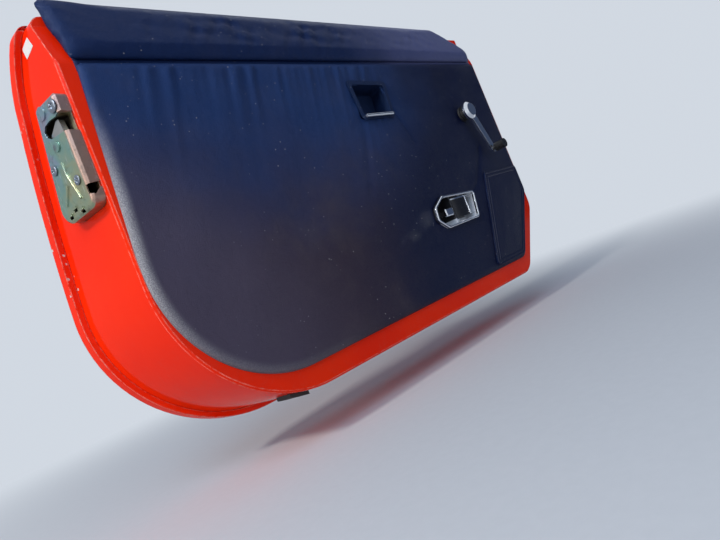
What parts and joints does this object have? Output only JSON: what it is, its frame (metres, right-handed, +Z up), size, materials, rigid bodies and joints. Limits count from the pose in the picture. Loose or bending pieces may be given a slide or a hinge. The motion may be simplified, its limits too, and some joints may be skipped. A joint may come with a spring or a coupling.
{
  "type": "roadster door",
  "caption": "Left front door of a small open two-seater, standing open on its hinges, with padded inner trim, latch, window crank, handles and lowered glass.",
  "frame": {"origin": "centre of the lower hinge's bolt pattern, on the face that meets the door post", "axes": "+X along the open door from its latch edge to its hinge edge, +Y out through the skin, +Z up; the post stands turned 56 degrees about Z"},
  "size_m": [0.9855, 0.2021, 0.5531],
  "materials": {
    "paint": "gloss",
    "vinyl": "grained vinyl",
    "roll_vinyl": "grained vinyl",
    "plastic": "satin",
    "chrome": "polished",
    "zinc": "yellow zinc plate",
    "steel": "satin",
    "rubber": "matt",
    "glass": "clear"
  },
  "bodies": {
    "post": {"lower_post_leaf": "paint", "upper_post_leaf": "paint", "lower_hinge_pin": "steel", "upper_hinge_pin": "steel", "check_bracket": "steel"},
    "door": {"outer_skin": "paint", "inner_shell": "paint", "door_card": "vinyl", "top_roll": "roll_vinyl", "front_patch": "vinyl", "pull_cup": "plastic", "pull_lip": "chrome", "handle_recess": "plastic", "handle_bezel": "chrome", "handle_lever": "chrome", "lock_tab": "chrome", "crank_boss": "plastic", "crank_arm": "chrome", "crank_knob": "plastic", "latch_case": "zinc", "latch_pocket": "zinc", "latch_claw": "steel", "edge_rubber": "rubber", "outer_handle": "chrome", "handle_button": "chrome", "lock_barrel": "chrome", "window_glass": "glass", "rear_run": "steel", "front_run": "steel", "inner_wiper": "rubber", "outer_wiper": "rubber", "check_guide": "steel", "lower_door_leaf": "paint", "upper_door_leaf": "paint"},
    "strap": {"check_strap": "steel"}
  },
  "joints": [
    {"name": "door_swing", "type": "hinge", "parent": "post", "child": "door", "pos_m": [-0.046, 0.0069, 0], "axis": [0, 0, 1], "range_deg": [-10, 56]},
    {"name": "strap_swing", "type": "hinge", "parent": "post", "child": "strap", "pos_m": [0.01048, -0.02155, 0.087], "axis": [0, 0, 1], "range_deg": [-6, 29]}
  ],
  "couplings": [
    {"joint": "strap_swing", "follows": "door_swing", "ratio": 0.5}
  ]
}
